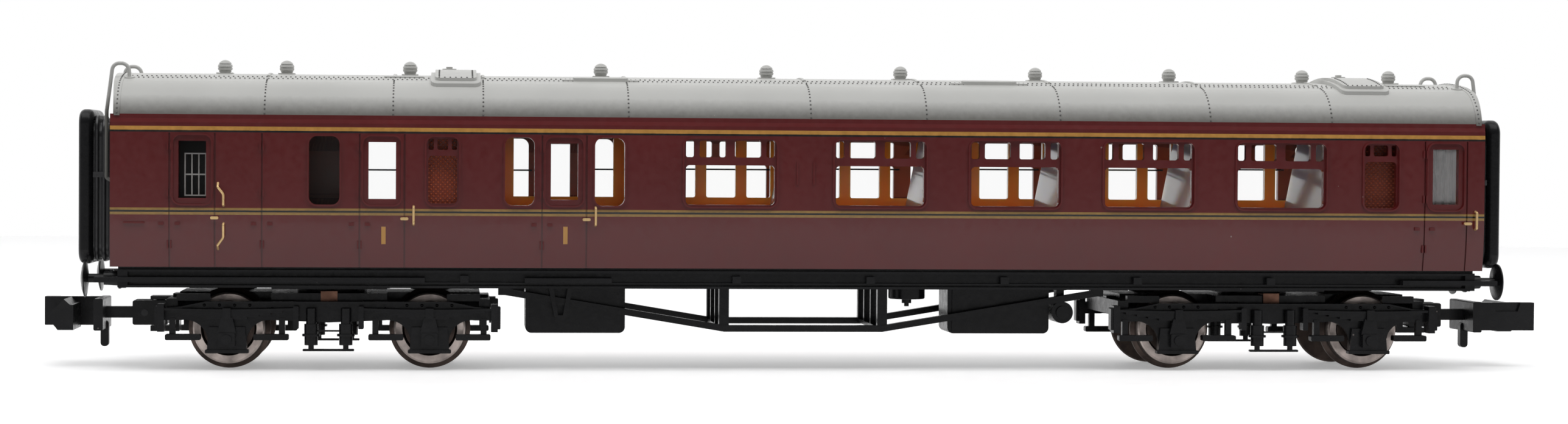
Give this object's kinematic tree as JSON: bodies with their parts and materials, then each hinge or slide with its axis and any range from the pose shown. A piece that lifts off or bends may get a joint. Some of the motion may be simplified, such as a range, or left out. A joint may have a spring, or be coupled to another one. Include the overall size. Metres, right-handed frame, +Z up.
{
  "type": "model railway passenger coach",
  "caption": "Model railway passenger coach with a guard's van end, corridor gangways, swivelling bogies, hook couplers and a glazed body over a moulded interior.",
  "frame": {"origin": "centre of the coach's plan, on the surface that the wheel flanges stand on", "axes": "+X along the coach towards the saloon end, -X to the guard's van end, +Y to the corridor side, +Z up"},
  "size_m": [0.14, 0.0198, 0.0281],
  "materials": {
    "axle_steel": "dulled",
    "ballast_steel": "plain",
    "bellows_black": "matt black",
    "body_paint": "satin maroon with gold and black lining",
    "brass_fittings": "satin",
    "clear_plastic": "clear and glossy",
    "copper_pickups": "bare copper",
    "coupler_black": "satin black",
    "frosted_plastic": "patterned and frosted",
    "interior_orange": "glossy orange",
    "roof_grey": "matt grey",
    "steel_screws": "satin",
    "underframe_black": "satin black",
    "wheel_metal": "dulled",
    "window_bars": "satin light grey"
  },
  "bodies": {
    "coach": {"ballast_weight": "ballast_steel", "battery_box": "underframe_black", "bellows_guard_end": "bellows_black", "bellows_saloon_end": "bellows_black", "body_shell": "body_paint", "bogie_pivot_screws": "steel_screws", "brake_hanger": "underframe_black", "buffers": "underframe_black", "chassis_floor": "underframe_black", "commode_handles": "brass_fittings", "compartment_seats": "interior_orange", "corridor_partition": "interior_orange", "cross_partitions": "interior_orange", "door_handles": "brass_fittings", "dynamo": "underframe_black", "end_rails": "roof_grey", "equipment_box": "underframe_black", "frosted_panes": "frosted_plastic", "gangway_plate_guard_end": "underframe_black", "gangway_plate_saloon_end": "underframe_black", "glazing_compartment_side": "clear_plastic", "glazing_corridor_side": "clear_plastic", "guard_window_bars": "window_bars", "headstocks": "underframe_black", "interior_tray": "interior_orange", "queen_posts": "underframe_black", "roof": "roof_grey", "roof_hatches": "roof_grey", "roof_strips": "roof_grey", "roof_ventilators": "roof_grey", "solebars": "underframe_black", "step_boards": "underframe_black", "truss_compartment_side": "underframe_black", "truss_corridor_side": "underframe_black", "vacuum_cylinder": "underframe_black"},
    "bogie_guard_end": {"bogie_frame_guard_end": "underframe_black", "side_frames_guard_end": "underframe_black", "pickup_strips_guard_end": "copper_pickups"},
    "wheelset_guard_end_outer": {"wheels_guard_end_outer": "wheel_metal", "axle_guard_end_outer": "axle_steel"},
    "wheelset_guard_end_inner": {"wheels_guard_end_inner": "wheel_metal", "axle_guard_end_inner": "axle_steel"},
    "yoke_guard_end": {"coupler_yoke_guard_end": "coupler_black", "coupler_pin_guard_end": "steel_screws"},
    "coupler_guard_end": {"coupler_guard_end": "coupler_black"},
    "bogie_saloon_end": {"bogie_frame_saloon_end": "underframe_black", "side_frames_saloon_end": "underframe_black", "pickup_strips_saloon_end": "copper_pickups"},
    "wheelset_saloon_end_outer": {"wheels_saloon_end_outer": "wheel_metal", "axle_saloon_end_outer": "axle_steel"},
    "wheelset_saloon_end_inner": {"wheels_saloon_end_inner": "wheel_metal", "axle_saloon_end_inner": "axle_steel"},
    "yoke_saloon_end": {"coupler_yoke_saloon_end": "coupler_black", "coupler_pin_saloon_end": "steel_screws"},
    "coupler_saloon_end": {"coupler_saloon_end": "coupler_black"}
  },
  "joints": [
    {"name": "bogie_swivel_guard_end", "type": "hinge", "parent": "coach", "child": "bogie_guard_end", "pos_m": [-0.04349, 0, 0.00715], "axis": [0, 0, 1], "range_deg": [-12, 12]},
    {"name": "wheel_spin_guard_end_outer", "type": "hinge", "parent": "bogie_guard_end", "child": "wheelset_guard_end_outer", "pos_m": [-0.05254, 0, 0.0037], "axis": [0, 1, 0], "continuous": true},
    {"name": "wheel_spin_guard_end_inner", "type": "hinge", "parent": "bogie_guard_end", "child": "wheelset_guard_end_inner", "pos_m": [-0.03443, 0, 0.0037], "axis": [0, 1, 0], "continuous": true},
    {"name": "yoke_swing_guard_end", "type": "hinge", "parent": "bogie_guard_end", "child": "yoke_guard_end", "pos_m": [-0.05919, 0, 0.00485], "axis": [0, 0, 1], "range_deg": [-8, 8]},
    {"name": "coupler_lift_guard_end", "type": "hinge", "parent": "yoke_guard_end", "child": "coupler_guard_end", "pos_m": [-0.06048, 0, 0.00485], "axis": [0, 1, 0], "range_deg": [0, 12]},
    {"name": "bogie_swivel_saloon_end", "type": "hinge", "parent": "coach", "child": "bogie_saloon_end", "pos_m": [0.04349, 0, 0.00715], "axis": [0, 0, 1], "range_deg": [-12, 12]},
    {"name": "wheel_spin_saloon_end_outer", "type": "hinge", "parent": "bogie_saloon_end", "child": "wheelset_saloon_end_outer", "pos_m": [0.05254, 0, 0.0037], "axis": [0, 1, 0], "continuous": true},
    {"name": "wheel_spin_saloon_end_inner", "type": "hinge", "parent": "bogie_saloon_end", "child": "wheelset_saloon_end_inner", "pos_m": [0.03443, 0, 0.0037], "axis": [0, 1, 0], "continuous": true},
    {"name": "yoke_swing_saloon_end", "type": "hinge", "parent": "bogie_saloon_end", "child": "yoke_saloon_end", "pos_m": [0.05919, 0, 0.00485], "axis": [0, 0, 1], "range_deg": [-8, 8]},
    {"name": "coupler_lift_saloon_end", "type": "hinge", "parent": "yoke_saloon_end", "child": "coupler_saloon_end", "pos_m": [0.06048, 0, 0.00485], "axis": [0, -1, 0], "range_deg": [0, 12]}
  ]
}
